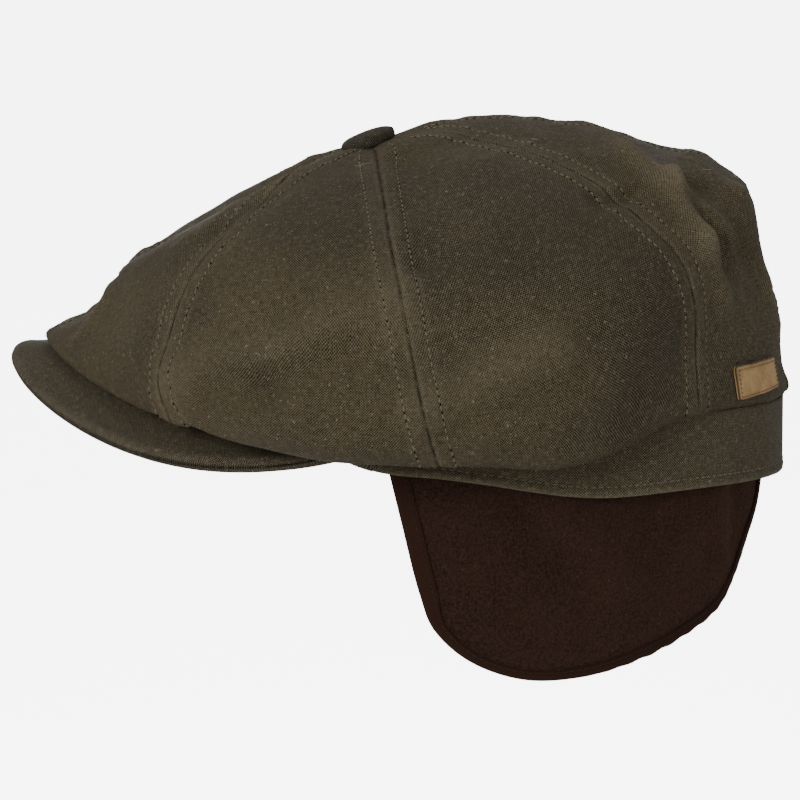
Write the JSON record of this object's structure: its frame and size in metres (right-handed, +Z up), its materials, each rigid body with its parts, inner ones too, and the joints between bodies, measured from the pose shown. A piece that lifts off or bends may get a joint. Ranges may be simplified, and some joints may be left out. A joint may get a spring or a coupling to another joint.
{
  "type": "newsboy cap with earflaps",
  "caption": "Full, soft newsboy cap of waxed cotton panels with a stiff arched peak, a covered top button and fleece earflaps folded down.",
  "frame": {"origin": "centre of the head opening, level with the headband's lower edge at the sides", "axes": "+Z up through the crown, -Y forward along the peak, +X to the wearer's left"},
  "size_m": [0.2381, 0.2659, 0.1793],
  "materials": {
    "crown": "waxed olive-brown cotton canvas",
    "band": "waxed dark brown cotton canvas",
    "peak": "waxed brown cotton canvas over a stiff board",
    "button": "waxed brown cotton canvas",
    "fleece": "dark brown fleece",
    "tape": "dark brown woven tape",
    "leather": "tan leather with darkened edges"
  },
  "bodies": {
    "root": {"crown_panel_1": "crown", "crown_panel_2": "crown", "crown_panel_3": "crown", "crown_panel_4": "crown", "crown_panel_5": "crown", "crown_panel_6": "crown", "crown_panel_7": "crown", "crown_panel_8": "crown", "headband": "band", "peak": "peak", "top_button": "button", "earflap_left": "fleece", "flap_binding_left": "tape", "earflap_right": "fleece", "flap_binding_right": "tape", "leather_patch": "leather"}
  },
  "joints": []
}
